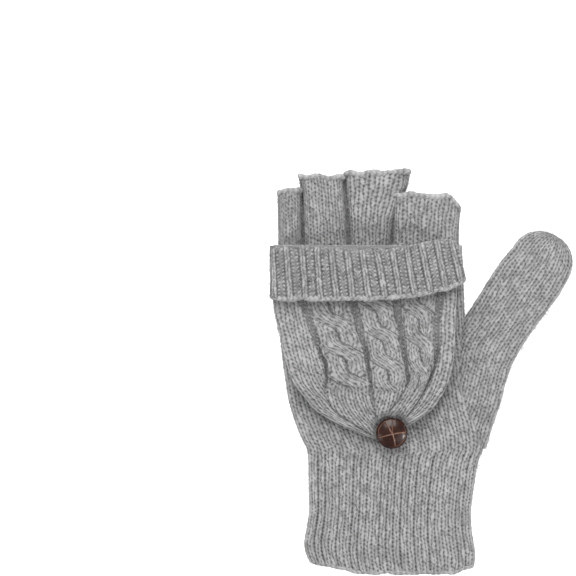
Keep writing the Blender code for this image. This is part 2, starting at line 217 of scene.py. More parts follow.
def purl(u, v, seed):
    """Height and tone of the back of plain knit: rows of short arched bars."""
    lag = hashed(np.floor(u), np.floor(v / 4), seed + 1) - 0.5
    wave = v + 0.15 * np.cos(2 * np.pi * u) + 0.25 * np.sin(1.9 * u + 0.35 * v + seed) + 0.45 * lag
    row = np.floor(wave)
    bump = hashed(np.floor(u + 0.5 * (row % 2)), row, seed)
    bar = 0.5 - 0.5 * np.cos(2 * np.pi * wave)
    height = 0.3 + 0.7 * bar ** 0.7 * (0.4 + 0.6 * bump) * (0.65 + 0.35 * np.cos(4 * np.pi * u))
    return pierced(height, u, wave, seed), hashed(np.floor(2 * u), row, seed + 3)


def painted_shade_level(height):
    """Stitch height as the materials read it: painted shade, darker the lower the knit lies between the
    stitches.
    """
    return smoothstep(*PAINTED_SHADE_HEIGHTS, height)


# --- flattened tubes

class Rings:
    """Rings round a flattened tube: base points, normals, and where each point is across and around."""

    def __init__(self, row_x, row_y, height, low, widest):
        self.top_count = int(widest / TOP_PITCH)
        self.under_count = int(widest / UNDER_PITCH)
        rows = len(row_x)
        size = self.top_count + self.under_count
        self.points = np.zeros((rows, size, 3))
        self.normals = np.zeros((rows, size, 3))
        self.across = np.zeros((rows, size))
        self.round = np.zeros((rows, size))
        self.width = np.zeros(rows)
        self.upper = np.arange(size)[None, :] <= self.top_count
        heights = np.broadcast_to(height, (rows,))
        lows = np.broadcast_to(low, (rows,))
        for j in range(rows):
            self.fill_row(j, row_x[j], row_y[j], heights[j], lows[j])
        middle = row_y.shape[1] // 2
        self.along = row_y[:, middle] - WRIST_Y

    def fill_row(self, j, xs, ys, height, low):
        arc = np.concatenate([[0.0], np.cumsum(np.hypot(np.diff(xs), np.diff(ys)))])
        width = arc[-1]
        radius = min(height / 2, width * 0.48)
        half = math.pi * radius + width - 2 * radius
        top = np.linspace(0.0, half, self.top_count + 1)
        under = np.linspace(half, 0.0, self.under_count + 1)[1:-1]
        distance = np.concatenate([top, under])
        sign = np.concatenate([np.ones(self.top_count + 1), -np.ones(self.under_count - 1)])
        quarter = math.pi * radius / 2
        start = np.clip(distance / radius, 0.0, math.pi / 2)
        end = np.clip((half - distance) / radius, 0.0, math.pi / 2)
        flat = np.clip(distance - quarter, 0.0, width - 2 * radius)
        e = radius * (1 - np.cos(start)) + flat
        e = np.where(distance < half - quarter, e, e + radius * np.cos(end))
        up = np.minimum(np.sin(start), np.sin(end))
        right = np.where(distance > half - quarter, np.cos(end), 0.0)
        out = np.where(distance < quarter, -np.cos(start), right)
        reach = 0.5 * MM  # to either side, for the edge's direction
        ahead = np.interp(e + reach, arc, xs) - np.interp(e - reach, arc, xs)
        rise = np.interp(e + reach, arc, ys) - np.interp(e - reach, arc, ys)
        length = np.maximum(np.hypot(ahead, rise), 1e-9)
        z = low + height / 2 + sign * up * height / 2
        self.points[j] = np.stack([np.interp(e, arc, xs), np.interp(e, arc, ys), z], axis=1)
        self.normals[j] = np.stack([out * ahead / length, out * rise / length, sign * up], axis=1)
        self.across[j] = e
        self.width[j] = width
        self.round[j] = np.where(sign > 0, distance, 2 * half - distance) / (2 * half)

    def stitches(self, wales_round):
        """Place of every point in wales round the tube and in courses along it."""
        u = self.round * wales_round
        return u, np.broadcast_to((self.along / COURSE)[:, None], u.shape)


def straight_rows(stations, y_start, y_end, bow=None):
    """Rows across from the left edge to the right edge, for stations (y, left, right) in millimetres."""
    count = max(int(abs(y_end - y_start) / ROW_PITCH), 2)
    ys = np.linspace(y_start, y_end, count + 1)
    left = column_at(stations, 1, ys)[:, None]
    right = column_at(stations, 2, ys)[:, None]
    row_x = left + (right - left) * np.linspace(0.0, 1.0, EDGE_SAMPLES)[None, :]
    row_y = np.broadcast_to(ys[:, None], row_x.shape).copy()
    if bow is not None:
        row_y += bow(row_x, row_y)
    return row_x, row_y


def edge_rows(left_path, right_path):
    """Rows between two paths of equally many points."""
    share = np.linspace(0.0, 1.0, EDGE_SAMPLES)[None, :, None]
    rows = left_path[:, None, :] + (right_path - left_path)[:, None, :] * share
    return rows[:, :, 0], rows[:, :, 1]


# --- meshes

NO_TRIS = np.zeros((0, 3), int)


def add_object(name, data):
    """New object in the scene."""
    new = bpy.data.objects.new(name, data)
    bpy.context.scene.collection.objects.link(new)
    return new


def build_piece(name, verts, quads, tris, stitch, tone):
    """New object from arrays, with its stitch height and tone as attributes."""
    mesh = bpy.data.meshes.new(name)
    verts = np.asarray(verts, np.float32)
    mesh.vertices.add(len(verts))
    mesh.vertices.foreach_set("co", verts.ravel())
    corners = np.concatenate([np.asarray(quads, np.int32).ravel(), np.asarray(tris, np.int32).ravel()])
    mesh.loops.add(len(corners))
    mesh.loops.foreach_set("vertex_index", corners)
    quad_starts = np.arange(len(quads)) * 4
    tri_starts = len(quads) * 4 + np.arange(len(tris)) * 3
    starts = np.concatenate([quad_starts, tri_starts]).astype(np.int32)
    mesh.polygons.add(len(starts))
    mesh.polygons.foreach_set("loop_start", starts)
    mesh.update(calc_edges=True)
    for key, values in (("stitch", stitch), ("tone", tone)):
        layer = mesh.attributes.new(key, "FLOAT", "POINT")
        layer.data.foreach_set("value", np.asarray(values, np.float32))
    mesh.shade_smooth()
    return add_object(name, mesh)


def grid_quads(first, rows, size, closed, flip=False):
    """Quads of a grid of rows by size vertices that starts at index first."""
    k = np.arange(size if closed else size - 1)
    j = np.arange(rows - 1)[:, None]
    a = first + j * size + k
    b = first + j * size + (k + 1) % size
    quads = np.stack([a, b, b + size, a + size], axis=-1).reshape(-1, 4)
    return quads[:, ::-1] if flip else quads


def strip_quads(one, other, closed, flip=False):
    """Quads between two rows of vertex indices."""
    quads = np.stack([one, np.roll(one, -1), np.roll(other, -1), other], axis=-1)
    quads = quads if closed else quads[:-1]
    return quads[:, ::-1] if flip else quads


def cap_tris(ring, pole, flip=False):
    """Triangles from a ring of vertex indices to a pole."""
    tris = np.stack([ring, np.roll(ring, -1), np.full(len(ring), pole)], axis=1)
    return tris[:, ::-1] if flip else tris


def open_tube(name, points, ends, stitch, tone, at_ends=0.5):
    """Mesh of rings of points, closed by a point at either end; at_ends is the stitch and tone there."""
    rows, size, _ = points.shape
    pole = rows * size
    ring = np.arange(size)
    tris = np.concatenate([cap_tris(ring, pole), cap_tris(ring + pole - size, pole + 1, True)])
    verts = np.concatenate([points.reshape(-1, 3), ends])
    values = (np.append(grid, [at_ends] * 2) for grid in (stitch, tone))
    return build_piece(name, verts, grid_quads(0, rows, size, True, True), tris, *values)


def loose_fibres(points, normals, count, seed, first):
    """Fibre ends that stand off the wool: thin curved three-sided strands, closed at both ends."""
    rng = np.random.default_rng(seed)
    free = np.flatnonzero((points[:, 2] > 1.5 * MM) | (normals[:, 2] > -0.1))
    picked = rng.choice(free, count)
    base, up = points[picked], normals[picked]
    side = rng.normal(size=(count, 3))
    side -= up * np.sum(side * up, axis=1, keepdims=True)
    side /= np.linalg.norm(side, axis=1, keepdims=True)
    bend = np.cross(up, side)
    length = rng.uniform(*FIBRE_LENGTH, count)[:, None, None]
    rise = rng.uniform(*FIBRE_RISE, count)[:, None, None]
    curl = rng.uniform(-0.6, 0.6, count)[:, None, None] * length
    t = np.linspace(0.0, 1.0, FIBRE_STEPS)[None, :, None]
    path = (base[:, None] + side[:, None] * length * t + bend[:, None] * curl * t * t
            + up[:, None] * (rise * np.sin(2.2 * t) - 0.1 * MM))
    path[..., 2] = np.maximum(path[..., 2], FIBRE_FLOOR)
    angle = (np.arange(3) * 2 * math.pi / 3)[None, :, None]
    spoke = up[:, None] * np.cos(angle) + bend[:, None] * np.sin(angle)
    radius = FIBRE_RADIUS * (1 - 0.65 * t)
    verts = path[:, :, None, :] + spoke[:, None] * radius[..., None]
    strand = grid_quads(0, FIBRE_STEPS, 3, True, True)
    starts = first + np.arange(count)[:, None, None] * 3 * FIBRE_STEPS
    last = 3 * (FIBRE_STEPS - 1)
    ends = np.array([[0, 1, 2], [last + 2, last + 1, last]])
    quads = (strand[None] + starts).reshape(-1, 4)
    tris = (ends[None] + starts).reshape(-1, 3)
    tone = np.repeat(rng.uniform(0.2, 1.0, count), 3 * FIBRE_STEPS)
    return verts.reshape(-1, 3), quads, tris, tone


def fabric_shell(name, outer, inner, normals, stitch, tone, seed, closed=True, tip=False, lining=None):
    """Shell of an outer grid and an inner one with fewer rows, joined along their edges.

    With tip, the last rows close to a point instead; lining is the inner grid's stitch and tone."""
    rows, size, _ = outer.shape
    inner_rows = inner.shape[0]
    inner_first = rows * size
    verts = [outer.reshape(-1, 3), inner.reshape(-1, 3)]
    quads = [grid_quads(0, rows, size, closed, True), grid_quads(inner_first, inner_rows, size, closed)]
    first_outer = np.arange(size)
    first_inner = inner_first + first_outer
    last_outer = (rows - 1) * size + first_outer
    last_inner = inner_first + (inner_rows - 1) * size + first_outer
    quads.append(strip_quads(first_outer, first_inner, closed))
    total = inner_first + inner_rows * size
    tris = [NO_TRIS]
    if tip:
        verts.append(np.array([outer[-1].mean(axis=0), inner[-1].mean(axis=0)]))
        tris += [cap_tris(last_outer, total, True), cap_tris(last_inner, total + 1)]
        total += 2
    else:
        quads.append(strip_quads(last_outer, last_inner, closed, True))
    if not closed:
        outer_index = np.arange(rows * size).reshape(rows, size)
        picked = np.linspace(0, rows - 1, inner_rows).round().astype(int)
        for side, flip in ((0, True), (size - 1, False)):
            tris.append(side_fan(outer_index[:, side], picked, inner_first, size, side, flip))
    hair = loose_fibres(verts[0], normals.reshape(-1, 3), FIBRES.get(name, STUB_FIBRES), seed, total)
    inside = total - inner_first
    lined = lining or (np.full(inside, 0.6), np.full(inside, 0.5))
    stitches = np.concatenate([painted_shade_level(stitch.ravel()), lined[0].ravel(), np.full(len(hair[0]), 0.7)])
    tones = np.concatenate([tone.ravel(), lined[1].ravel(), hair[3]])
    return build_piece(name, np.concatenate(verts + [hair[0]]), np.concatenate(quads + [hair[1]]),
                       np.concatenate(tris + [hair[2]]), stitches, tones)


def side_fan(outer_side, picked, inner_first, size, side, flip):
    """Triangles that close the side between all of the outer rows and the fewer inner rows."""
    faces = []
    for n in range(len(picked) - 1):
        low = inner_first + n * size + side
        high = low + size
        middle = (picked[n] + picked[n + 1]) // 2
        for j in range(picked[n], picked[n + 1]):
            anchor = low if j < middle else high
            faces.append((outer_side[j], outer_side[j + 1], anchor))
        faces.append((outer_side[middle], high, low))
    faces = np.array(faces)
    return faces[:, ::-1] if flip else faces


def every_few(rows):
    """Indices of the rows that the inside skin keeps."""
    return np.linspace(0, rows - 1, max(rows // INSIDE_STEP, 4)).round().astype(int)


def knit_piece(name, rings, u, v, seed, shape=0.0, tip=False):
    """Tube of plain knit over its rings; shape is what the surface rises, in metres."""
    height, tone = stockinette(u, v, seed)
    out = (height - 0.5) * STITCH_RELIEF + shape
    outer = rings.points + rings.normals * out[..., None]
    x, y = rings.points[..., 0], rings.points[..., 1]
    outer[..., 2] += PUCKER * uneven(x, y, 9 * MM, seed) * rings.upper
    depth = (FABRIC - np.minimum(shape, 0.0)) * np.ones_like(u)
    inner = (rings.points - rings.normals * depth[..., None])[every_few(len(u))]
    return fabric_shell(name, outer, inner, rings.normals, height, tone, seed, tip=tip)


ROLL_STITCH = 2.7 * MM  # length of one stitch along a rolled edge
ROLL_SIDES = 14


def roll(name, path, normals, outward, radius, seed, wave=0.0, closed=True):
    """Rolled edge along a path: a bead whose stitches wind round it, a little uneven all along."""
    arc = running_length(path)
    place = (arc / arc[-1] * max(round(arc[-1] / ROLL_STITCH), 3))[:, None]
    angle = np.linspace(0.0, 2 * math.pi, ROLL_SIDES, endpoint=False)[None, :]
    height = np.abs(np.cos(math.pi * (place + 0.5 * np.sin(angle) ** 2))) ** 0.7
    lumps = hashed(np.floor(place + 0.5), 1.0, seed) - 0.5 + 0.6 * np.sin(place * 1.3 + 2 * seed)
    taper = 1.0
    if not closed:
        taper = np.sqrt(np.clip(np.minimum(arc, arc[-1] - arc) / (2 * radius), 0.02, 1.0))[:, None]
    reach = radius * (0.76 + 0.26 * height + 0.2 * lumps) * taper
    drift = wave * (np.sin(2 * math.pi * place / 3.7 + seed) + 0.7 * np.sin(2 * math.pi * place / 8.3))
    points = (path[:, None, :] + normals[:, None, :] * (np.cos(angle) * reach)[..., None]
              + outward[:, None, :] * (np.sin(angle) * reach * 1.15 + drift)[..., None])
    # painted shade: the colour darkens between the stitches that wind round the roll
    stitch = 0.45 + 0.45 * height
    tone = hashed(np.floor(np.broadcast_to(place, height.shape)), 0.0, seed)
    if not closed:
        return open_tube(name, points, path[[0, -1]], stitch, tone)
    first = np.arange(ROLL_SIDES)
    last = (len(path) - 1) * ROLL_SIDES + first
    quads = np.concatenate([grid_quads(0, len(path), ROLL_SIDES, True), strip_quads(last, first, True)])
    return build_piece(name, points.reshape(-1, 3), quads, NO_TRIS, stitch.ravel(), tone.ravel())


def end_roll(name, rings, last, radius, seed, wave=0.0):
    """Roll round the first or the last ring of a tube, half over its edge."""
    row, beside = (-1, -3) if last else (0, 2)
    path = rings.points[row] - rings.normals[row] * FABRIC * 0.5
    outward = rings.points[row] - rings.points[beside]
    outward[:, 2] = 0.0
    outward /= np.linalg.norm(outward, axis=1)[:, None]
    return roll(name, path, rings.normals[row], outward, radius, seed, wave)


# --- materials

class Look:
    """One Principled material and the nodes that feed it."""

    def __init__(self, name, settings):
        self.material = bpy.data.materials.new(name)
        self.material.use_nodes = True
        self.nodes = self.material.node_tree.nodes
        self.links = self.material.node_tree.links
        self.shader = self.nodes["Principled BSDF"]
        for socket, value in settings.items():
            self.shader.inputs[socket].default_value = value

    def node(self, kind, **values):
        """New node; each value is a number for the socket of that name, or the output that feeds it."""
        node = self.nodes.new("ShaderNode" + kind)
        for socket, value in values.items():
            self.feed(node.inputs[socket], value)
        return node

    def feed(self, socket, value):
        if isinstance(value, (int, float)):
            socket.default_value = value
        else:
            self.links.new(value, socket)

    def noise(self, place, scale, detail, roughness=0.55):
        texture = self.node("TexNoise", Vector=place, Scale=scale, Detail=detail, Roughness=roughness)
        return texture.outputs["Fac"]

    def attribute(self, name):
        node = self.node("Attribute")
        node.attribute_name = name
        return node.outputs["Fac"]

    def multiply_add(self, *values):
        node = self.node("Math")
        node.operation = "MULTIPLY_ADD"
        for socket, value in zip(node.inputs, values):
            self.feed(socket, value)
        return node.outputs[0]

    def colour_from(self, parts, stops):
        """Base colour from the sum of (source, weight) pairs, through a ramp."""
        total = 0.0
        for source, weight in parts:
            total = self.multiply_add(source, weight, total)
        ramp = self.node("ValToRGB", Fac=total)
        elements = ramp.color_ramp.elements
        while len(elements) < len(stops):
            elements.new(0.5)
        for element, (place, colour) in zip(elements, stops):
            element.position = place
            element.color = (*colour, 1.0)
        self.links.new(ramp.outputs["Color"], self.shader.inputs["Base Color"])

    def bump(self, height, strength, distance):
        node = self.node("Bump", Height=height, Strength=strength, Distance=distance)
        self.links.new(node.outputs["Normal"], self.shader.inputs["Normal"])


WOOL_TONES = ((0.3, 0.022), (0.5, 0.074), (0.72, 0.168), (1.0, 0.365))
WOOL_SHADER = {"Roughness": 0.95, "Specular IOR Level": 0.25, "Sheen Weight": 0.1, "Sheen Roughness": 0.6}
LEATHER_TONES = ((0.12, (0.012, 0.003, 0.002)), (0.42, (0.045, 0.012, 0.005)), (0.95, (0.25, 0.13, 0.08)))
LEATHER_SHADER = {"Specular IOR Level": 0.3, "Coat Weight": 0.1, "Coat Roughness": 0.12}


def wool(name, light=1.0):
    """Heather grey wool: painted shade between the stitches and paler crowns, read from the stitch height,
    flecked, with fine fibres.
    """
    look = Look(name, WOOL_SHADER)
    place = look.node("TexCoord").outputs["Object"]
    fleck = look.noise(place, 2200.0, 2.0, 0.7)
    fibre = look.noise(place, 4200.0, 2.0, 0.7)
    cloud = look.noise(place, 90.0, 3.0)
    # the stitch attribute carries painted shade into the colour: dark where the knit lies low
    parts = ((look.attribute("stitch"), 0.5), (look.attribute("tone"), 0.2), (fleck, 0.56), (cloud, 0.05),
             (fibre, 0.16))
    look.colour_from(parts, [(at, (tone * light,) * 3) for at, tone in WOOL_TONES])
    look.bump(look.multiply_add(fleck, 1.0, fibre), 0.6, 0.25 * MM)
    return look.material


def leather(name):
    """Dark red-brown moulded leather: glossy, with fine grain and worn, paler ridges."""
    look = Look(name, LEATHER_SHADER)
    place = look.node("TexCoord").outputs["Object"]
    grain = look.noise(place, 2600.0, 4.0, 0.6)
    patch = look.noise(place, 420.0, 3.0)
    look.colour_from(((look.attribute("stitch"), 0.75), (patch, 0.4)), LEATHER_TONES)
    look.links.new(look.multiply_add(grain, 0.3, 0.12), look.shader.inputs["Roughness"])
    look.bump(grain, 0.15, 0.05 * MM)
    return look.material


def dress(piece, material, body, slot, *nodes):
    """Gives a finished piece its material, its body and the CAD nodes that it stands for."""
    piece.data.materials.clear()
    piece.data.materials.append(material)
    if body is not None:
        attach(piece, body)
    if nodes:
        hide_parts(*nodes)


# --- cuff and hand

# outlines: height y, left edge and right edge in millimetres
CUFF_STATIONS = ((-86.5, -40.0, 41.6), (-80.8, -42.3, 42.3), (-76.0, -43.0, 42.0), (-66.0, -41.7, 40.5),
                 (-54.7, -40.5, 40.3), (-42.0, -40.8, 41.9), (-31.0, -41.0, 43.8), (-24.0, -41.4, 46.3))
HAND_STATIONS = ((-29.5, -41.0, 44.4), (-24.0, -41.6, 46.5), (-20.2, -43.6, 46.8), (-13.5, -46.5, 46.0),
                 (-3.0, -50.0, 43.4), (11.0, -52.5, 40.8), (27.0, -54.5, 38.6), (40.5, -56.0, 37.2),
                 (50.5, -58.0, 36.8), (64.0, -58.4, 36.4), (78.5, -58.2, 35.6))
WALES_ROUND = 50  # wales round the cuff and the hand
CUFF_WIDEST = 90 * MM  # the widest row, which sets the number of vertices in each
HAND_WIDEST = 98 * MM
WRIST_LAP = 2.6 * MM  # how far the cuff and the hand reach into each other at the wrist
LAP_DEPTH = 1.0 * MM
RIB_DEPTH = 1.1 * MM
GUSSET_DEPTH = 1.3 * MM  # how far hand and thumb are sunk where the other one covers them
COVER_DEPTH = 1.4 * MM  # likewise of the hand under the cover
HEM_RISE_LEFT = 5.4 * MM
HEM_RISE_RIGHT = 3.4 * MM
# where the knit of the hand meets the gusset's: height y and place x in millimetres
GUSSET_LINE = ((-27.0, 47.5), (-18.0, 43.0), (-8.0, 38.5), (8.0, 34.5), (22.0, 33.5), (34.0, 35.5),
               (42.0, 38.5))


def hem_bow(x, y):
    """The hem curves up towards both sides, and the courses straighten out above it."""
    left = HEM_RISE_LEFT * smoothstep(-10 * MM, -44 * MM, x)
    right = HEM_RISE_RIGHT * smoothstep(28 * MM, 44 * MM, x)
    near = 1 - smoothstep(HEM_Y, HEM_Y + 40 * MM, y)
    return (left + right) * near


def rib_grooves(u, seed):
    """Depth from 0 to 1 of the hollows between the ribs: mostly slight, some of them deep."""
    place = u + 0.5
    between = np.abs(place - np.floor(place) - 0.5)
    deep = hashed(np.floor(place), 5.0, seed)
    return (1 - smoothstep(0.02, 0.3, between)) * (0.3 + 1.3 * deep ** 3)


def make_cuff(material, edge_material):
    row_x, row_y = straight_rows(CUFF_STATIONS, HEM_Y + 0.6 * MM, WRIST_Y + WRIST_LAP, hem_bow)
    rings = Rings(row_x, row_y, TUBE_HEIGHT, TUBE_FLOOR, CUFF_WIDEST)
    u, v = rings.stitches(WALES_ROUND)
    into_hand = smoothstep(WRIST_Y, WRIST_Y + WRIST_LAP, row_y[:, 0])[:, None]
    ribs = rib_grooves(u, SEEDS["cuff_grooves"]) * (1 - into_hand) * RIB_DEPTH
    piece = knit_piece("cuff_knit", rings, u, v, SEEDS["hand"], shape=-ribs - LAP_DEPTH * into_hand)
    dress(piece, material, "hand", "rib_wool", "wrist_cuff")
    hem = end_roll("cast_on_knit", rings, False, 0.95 * MM, SEEDS["hem"], 0.22 * MM)
    dress(hem, edge_material, "hand", "edge_wool", "cuff_cast_on_edge")


def beyond_gusset_line(x, y):
    """How far to the thumb's side of the gusset line a point is, in metres."""
    return x - column_at(GUSSET_LINE, 1, y)


def make_hand(material):
    row_x, row_y = straight_rows(HAND_STATIONS, WRIST_Y - WRIST_LAP, KNUCKLE_Y + 0.8 * MM)
    rings = Rings(row_x, row_y, TUBE_HEIGHT, TUBE_FLOOR, HAND_WIDEST)
    u, v = rings.stitches(WALES_ROUND)
    into_cuff = 1 - smoothstep(WRIST_Y - WRIST_LAP, WRIST_Y, row_y[:, 0])[:, None]
    x, y = rings.points[..., 0], rings.points[..., 1]
    below_thumb = 1 - smoothstep(38 * MM, 44 * MM, y)
    under_gusset = smoothstep(-1.5 * MM, 3 * MM, beyond_gusset_line(x, y)) * below_thumb
    left, right = column_at(COVER_STATIONS, 1, y), column_at(COVER_STATIONS, 2, y)
    covered = smoothstep(-1 * MM, 2.5 * MM, np.minimum(x - left, right - x))
    covered = covered * smoothstep(-18 * MM, -14 * MM, y) * rings.upper
    shape = -LAP_DEPTH * into_cuff - GUSSET_DEPTH * under_gusset - COVER_DEPTH * covered
    piece = knit_piece("hand_knit", rings, u, v, SEEDS["hand"], shape=shape)
    dress(piece, material, "hand", "grey_wool", "hand_tube", "thumb_gusset")


# --- thumb

THUMB_INNER = ((37.2, -25.0), (33.4, -8.0), (29.0, 8.0), (27.5, 22.0), (30.0, 32.0), (36.2, 40.2),
               (45.4, 54.4), (54.3, 68.3), (60.8, 76.2))
THUMB_OUTER = ((48.0, -24.0), (52.2, -10.0), (54.9, -2.5), (57.1, 6.0), (60.1, 15.5), (64.4, 24.0),
               (77.4, 43.0), (84.2, 52.2), (88.9, 60.4))
THUMB_ROWS = 225
TIP_ROWS = 46
THUMB_WALES = 9.5
THUMB_WIDEST = 36 * MM


def thumb_tip(inner, outer):
    """Rows that round off the tip: they move on along the thumb while they shorten."""
    across = outer[-1] - inner[-1]
    half = np.linalg.norm(across) / 2
    across /= np.linalg.norm(across)
    forward = np.array([-across[1], across[0]])
    middle = (inner[-1] + outer[-1]) / 2
    angle = np.radians(np.linspace(0.0, 87.0, TIP_ROWS))[1:]
    centres = middle + forward * (np.sin(angle) * half * 0.98)[:, None]
    reach = across * (np.cos(angle) ** 0.85 * half)[:, None]
    return np.concatenate([inner, centres - reach]), np.concatenate([outer, centres + reach]), angle


def make_thumb(material):
    inner = smooth_path(THUMB_INNER, THUMB_ROWS)
    outer = smooth_path(THUMB_OUTER, THUMB_ROWS)
    inner, outer, angle = thumb_tip(inner, outer)
    row_x, row_y = edge_rows(inner, outer)
    heights = np.concatenate([np.full(THUMB_ROWS, TUBE_HEIGHT), TUBE_HEIGHT * np.cos(angle) ** 0.5])
    rings = Rings(row_x, row_y, heights, TUBE_FLOOR + (TUBE_HEIGHT - heights) / 2, THUMB_WIDEST)
    wales = np.minimum(rings.width / WALE, THUMB_WALES)
    wales[THUMB_ROWS // 2:] = THUMB_WALES
    wales = np.convolve(np.pad(wales, 6, mode="edge"), np.full(13, 1 / 13), mode="valid")
    u = (1 - rings.across / rings.width[:, None]) * wales[:, None] * np.where(rings.upper, 1.0, -1.0)
    middle = EDGE_SAMPLES // 2
    along = running_length(np.stack([row_x[:, middle], row_y[:, middle]], axis=1))
    v = np.broadcast_to((along / COURSE)[:, None], u.shape)
    x, y = rings.points[..., 0], rings.points[..., 1]
    inside_hand = smoothstep(3 * MM, -1.5 * MM, beyond_gusset_line(x, y))
    inside_hand = inside_hand * (1 - smoothstep(34 * MM, 40 * MM, y))
    shape = -GUSSET_DEPTH * inside_hand
    piece = knit_piece("thumb_knit", rings, u, v, SEEDS["thumb"], shape=shape, tip=True)
    dress(piece, material, None, "grey_wool", "thumb_tube")
    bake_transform(piece)


# --- finger stubs

# stations (y, left, right), height, slant of the end, rise of its left and its right corner, wales round it
FINGERS = {
    "little": (((75.5, -55.8, -42.8), (90.0, -56.0, -43.4), (106.0, -56.4, -43.6)), 7.6, 0.0, -0.5, 0.0, 11),
    "middle": (((75.5, -20.6, 1.0), (90.0, -21.6, 2.6), (98.0, -22.3, 5.2), (106.0, -22.8, 8.6),
                (115.0, -23.2, 10.4)), 7.3, 0.02, -1.0, 0.4, 15),
    "ring": (((75.5, -43.8, -20.2), (92.0, -44.2, -21.4), (108.0, -45.2, -22.4), (112.9, -46.0, -22.6)),
             7.8, 0.0, 0.6, -0.6, 17),
    "index": (((75.5, 0.3, 34.2), (88.0, 0.5, 34.4), (97.0, 0.6, 34.8), (103.5, 0.6, 35.4)),
              8.1, -0.06, -1.2, -5.6, 20),
}
CORNER_REACH = 10 * MM
STUB_SHOULDER = 1.3 * MM  # how much the stubs drop towards the clefts between them
STUB_GAP = 1.7 * MM  # from the end of a stub's stations to its knit, for the rolled edge


def make_finger(name, material, edge_material, seed):
    stations, height_mm, slant, left_rise, right_rise, wales = FINGERS[name]
    start, end = stations[0][0] * MM, stations[-1][0] * MM - STUB_GAP
    left, right = stations[-1][1] * MM, stations[-1][2] * MM

    def lean(x, y):
        corners = (left_rise * MM * np.clip((left - x) / CORNER_REACH + 1, 0.0, 1.0) ** 3
                   + right_rise * MM * np.clip((x - right) / CORNER_REACH + 1, 0.0, 1.0) ** 3)
        ripple = 0.4 * MM * np.sin(x / (2.1 * MM) + seed) * smoothstep(end - 6 * MM, end, y)
        return (slant * (x - (left + right) / 2) + corners) * smoothstep(start, end, y) + ripple

    row_x, row_y = straight_rows(stations, start, end, lean)
    widest = max(station[2] - station[1] for station in stations) * MM
    rings = Rings(row_x, row_y, height_mm * MM, TUBE_FLOOR, widest + 3 * MM)
    u, v = rings.stitches(wales)
    from_side = np.minimum(rings.across, rings.width[:, None] - rings.across)
    shoulder = -STUB_SHOULDER * (1 - smoothstep(0.0, 6.5 * MM, from_side)) * rings.upper
    piece = knit_piece(name + "_stub_knit", rings, u, v, seed, shape=shoulder)
    dress(piece, material, "hand", "grey_wool", name + "_stub")
    edge = end_roll(name + "_edge_knit", rings, True, 1.35 * MM, seed, 0.35 * MM)
    dress(edge, edge_material, "hand", "edge_wool", name + "_bound_edge")
    for part in (piece, edge):
        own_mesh(part)


# --- cover

COVER_STATIONS = ((-18.6, -8.0, 0.5), (-16.5, -14.5, 3.4), (-13.5, -21.5, 7.0), (-10.0, -28.5, 12.0),
                  (-6.0, -35.5, 18.2), (1.0, -42.0, 24.0), (6.7, -46.8, 27.2), (16.5, -51.2, 30.2),
                  (24.0, -53.2, 31.2), (40.0, -57.0, 31.9), (57.0, -59.6, 32.6), (78.0, -60.4, 34.2))
# hollows between the panels: height y, and the four places x, in millimetres
GUTTERS = ((-19.0, -6.5, -4.5, -3.0, -1.5), (-12.0, -18.0, -6.5, -3.5, 3.5), (-6.0, -27.0, -7.8, -1.0, 9.5),
           (2.0, -32.5, -9.2, 5.0, 15.0), (10.0, -32.0, -10.4, 8.6, 19.0), (17.0, -32.5, -11.2, 7.8, 21.8),
           (26.5, -36.2, -13.0, 6.0, 23.0), (37.0, -39.0, -15.8, 4.8, 22.6), (49.0, -44.5, -18.6, 2.6, 24.4),
           (78.0, -50.0, -23.0, -1.0, 27.0))
GUTTER_HALF = 1.7 * MM
GUTTER_DEPTH = 0.9 * MM
PANEL_RISE = 1.3 * MM
CABLE_REPEAT = 14.5 * MM  # height of one crossing of a cable
CABLE_PHASES = (0.21, 0.79, 0.57)
CABLE_RISE = 3.4 * MM
CREASE_WIDTH = 0.9 * MM  # how nearly level two strands are where the crease between them shows
CREASE_DEPTH = 0.8 * MM
CABLE_END_Y = 7.0 * MM  # below it the cables run out into plain columns
TIP_HEIGHT = 5.4 * MM
COVER_WIDEST = 104 * MM
COVER_RELIEF = 1.2 * MM  # left free under the solid's top for the cables
MOUTH_Y = 75.4 * MM
JOIN_Y = SEAM[0][1] + 0.2 * MM
BUTTON_CLEARANCE = 0.5 * MM


def cover_height(y):
    """Height of the cover above its floor, as its solid has it."""
    full = COVER[1][2] - COVER_BACK[0][2]
    share = np.clip((36 * MM - y) / (56 * MM), 0.0, 1.0)
    return full + (TIP_HEIGHT - full) * share


def cover_slant(x, y):
    """The mouth rises a little towards the thumb side."""
    return 0.045 * (x + 13 * MM) * smoothstep(50 * MM, 77 * MM, y)


def reach_for_join(points, upper):
    """Carries the underside of the cover on to the line where it is joined to the hand."""
    x, y = points[..., 0], points[..., 1]
    end = MOUTH_Y + cover_slant(x, MOUTH_Y)
    share = smoothstep(MOUTH_Y - 22 * MM, MOUTH_Y - 2 * MM, y)
    points[..., 1] += np.where(upper, 0.0, (JOIN_Y - end) * share)


def strand_centre(edges, y, phase, sign):
    """Where the middle of one of a cable's two strands is at height y, and how high it lies there."""
    left, right = edges
    half = np.maximum((right - left) / 2, 1.5 * MM)
    turn = -y / CABLE_REPEAT + phase
    whole = np.floor(turn)
    angle = math.pi * (whole + smoothstep(0.0, 0.95, turn - whole))
    return (left + right) / 2 + sign * 0.45 * half * np.cos(angle), -sign * np.sin(angle), half


